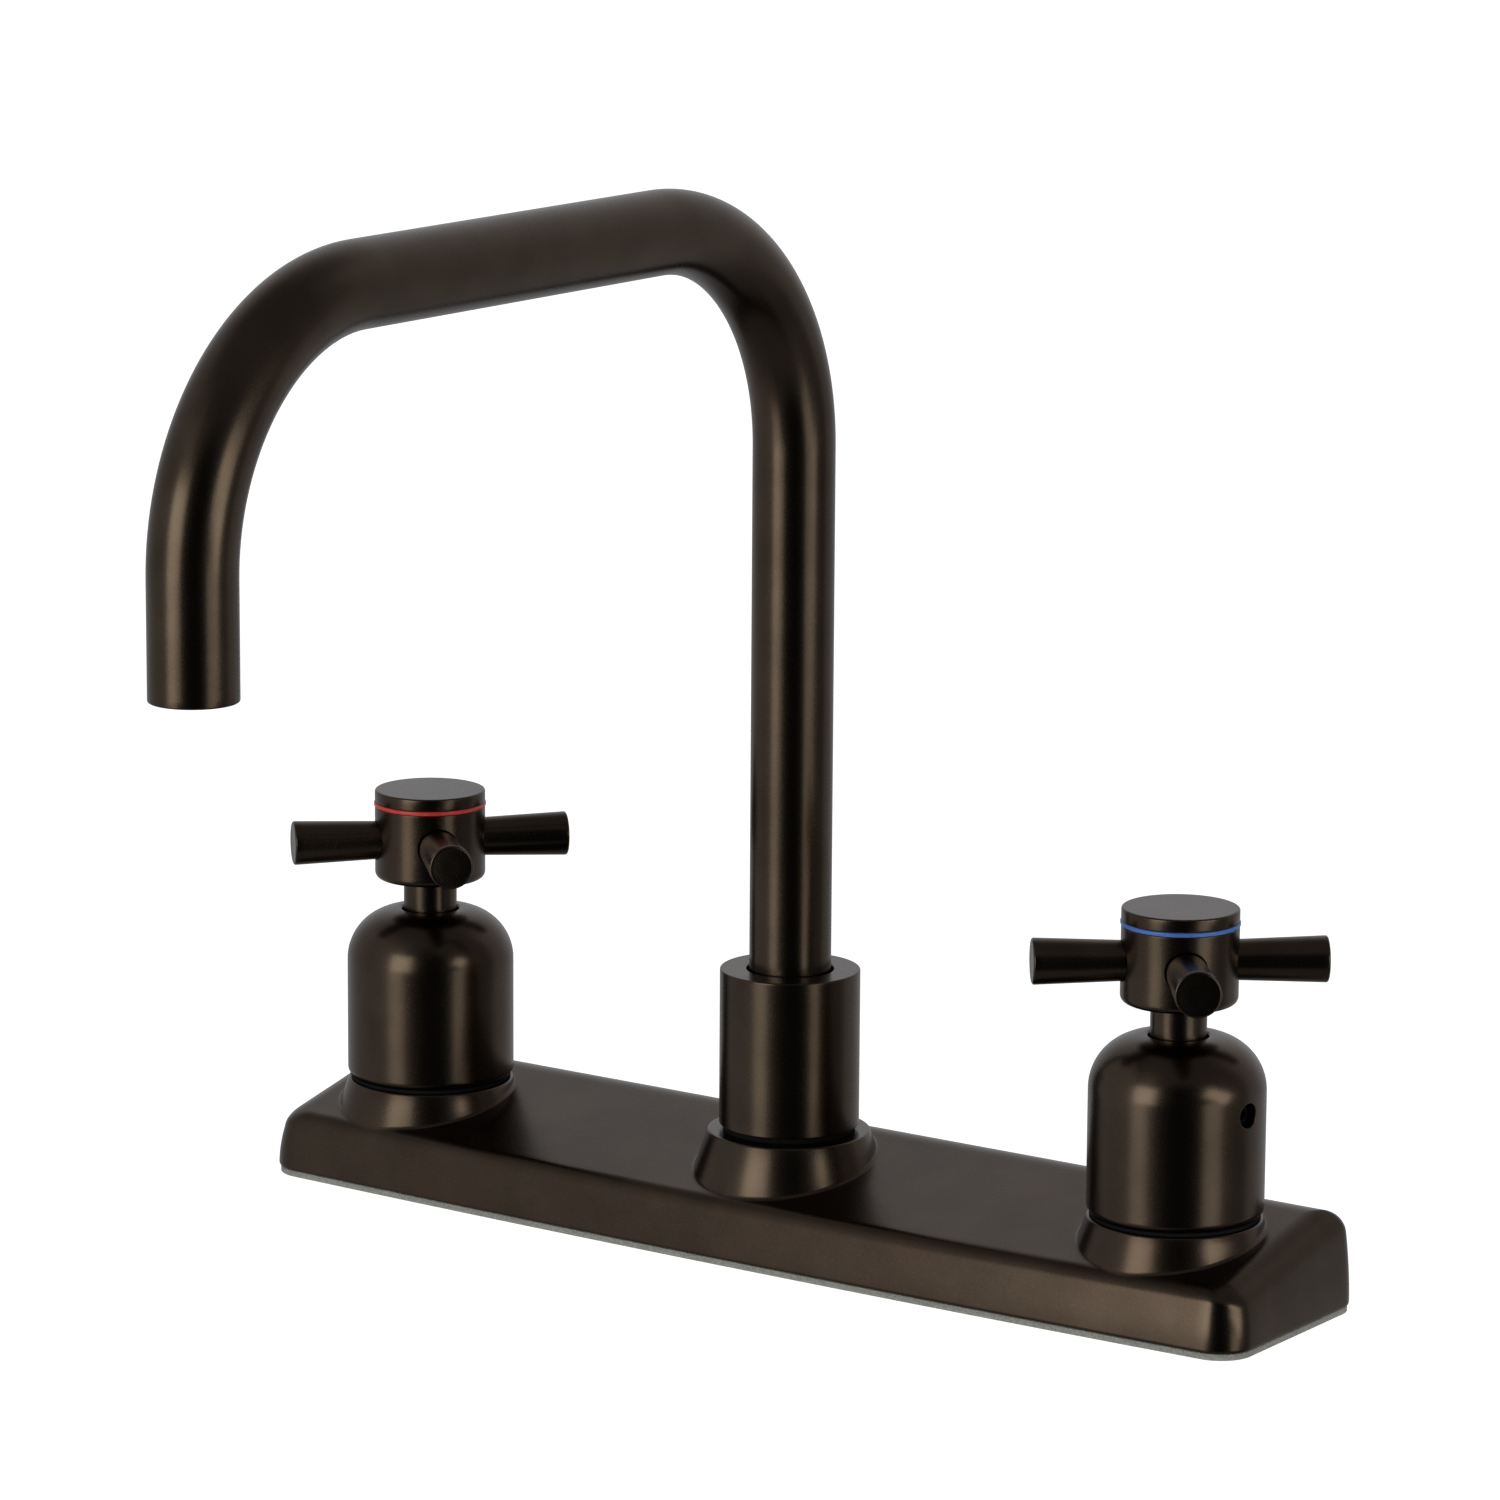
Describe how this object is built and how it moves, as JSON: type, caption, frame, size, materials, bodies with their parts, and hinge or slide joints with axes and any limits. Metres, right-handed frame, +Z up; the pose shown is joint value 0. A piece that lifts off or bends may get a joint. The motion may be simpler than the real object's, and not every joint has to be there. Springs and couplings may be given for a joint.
{
  "type": "two handle kitchen faucet",
  "caption": "Deck mounted two handle kitchen faucet with domed valve covers, cross handles and a square swivel spout.",
  "frame": {"origin": "on the sink deck, under the gasket, on the axis that the spout turns about", "axes": "+Z up, +X towards the cold valve, +Y away from the user: the spout points along -Y over the sink"},
  "size_m": [0.263, 0.2447, 0.3008],
  "materials": {
    "oil_rubbed_bronze": "satin, dark brown, fine grained",
    "brass": "machined",
    "copper": "drawn copper tube",
    "stainless_steel": "plain",
    "white_plastic": "moulded",
    "grey_foam": "closed cell foam",
    "black_rubber": "moulded",
    "ceramic": "lapped",
    "red_plastic": "satin",
    "blue_plastic": "satin"
  },
  "bodies": {
    "base": {"base_gasket": "grey_foam", "deck_plate": "oil_rubbed_bronze", "hot_valve_body": "brass", "hot_seat_seal": "black_rubber", "hot_fixed_disc": "ceramic", "hot_cartridge_shell": "brass", "hot_cartridge_nut": "brass", "hot_dome_ring": "black_rubber", "hot_dome": "oil_rubbed_bronze", "hot_set_screw": "stainless_steel", "hot_mounting_washer": "stainless_steel", "hot_mounting_nut": "white_plastic", "hot_feed_tube": "copper", "cold_valve_body": "brass", "cold_seat_seal": "black_rubber", "cold_fixed_disc": "ceramic", "cold_cartridge_shell": "brass", "cold_cartridge_nut": "brass", "cold_dome_ring": "black_rubber", "cold_dome": "oil_rubbed_bronze", "cold_set_screw": "stainless_steel", "cold_mounting_washer": "stainless_steel", "cold_mounting_nut": "white_plastic", "cold_feed_tube": "copper", "spout_hub": "brass", "collar_ring": "black_rubber", "spout_collar": "oil_rubbed_bronze", "spout_lower_washer": "white_plastic", "spout_upper_washer": "white_plastic"},
    "spout": {"spout_tube": "oil_rubbed_bronze", "spout_base": "brass", "spout_o_ring_1": "black_rubber", "spout_o_ring_2": "black_rubber", "aerator_housing": "white_plastic", "aerator_screen": "stainless_steel", "aerator_washer": "black_rubber"},
    "hot_handle": {"hot_moving_disc": "ceramic", "hot_stem": "brass", "hot_neck_sleeve": "oil_rubbed_bronze", "hot_index_ring": "red_plastic", "hot_handle_cap": "oil_rubbed_bronze", "hot_handle_screw": "stainless_steel", "hot_handle_hub": "oil_rubbed_bronze", "hot_handle_bar_1": "oil_rubbed_bronze", "hot_handle_bar_2": "oil_rubbed_bronze", "hot_handle_bar_3": "oil_rubbed_bronze", "hot_handle_bar_4": "oil_rubbed_bronze"},
    "cold_handle": {"cold_moving_disc": "ceramic", "cold_stem": "brass", "cold_neck_sleeve": "oil_rubbed_bronze", "cold_index_ring": "blue_plastic", "cold_handle_cap": "oil_rubbed_bronze", "cold_handle_screw": "stainless_steel", "cold_handle_hub": "oil_rubbed_bronze", "cold_handle_bar_1": "oil_rubbed_bronze", "cold_handle_bar_2": "oil_rubbed_bronze", "cold_handle_bar_3": "oil_rubbed_bronze", "cold_handle_bar_4": "oil_rubbed_bronze"}
  },
  "joints": [
    {"name": "spout_swivel", "type": "hinge", "parent": "base", "child": "spout", "pos_m": [0, 0, 0.05], "axis": [0, 0, 1], "continuous": true},
    {"name": "hot_handle_turn", "type": "hinge", "parent": "base", "child": "hot_handle", "pos_m": [-0.1016, 0, 0.0794], "axis": [0, 0, 1], "range_deg": [0, 90]},
    {"name": "cold_handle_turn", "type": "hinge", "parent": "base", "child": "cold_handle", "pos_m": [0.1016, 0, 0.0794], "axis": [0, 0, 1], "range_deg": [-90, 0]}
  ]
}
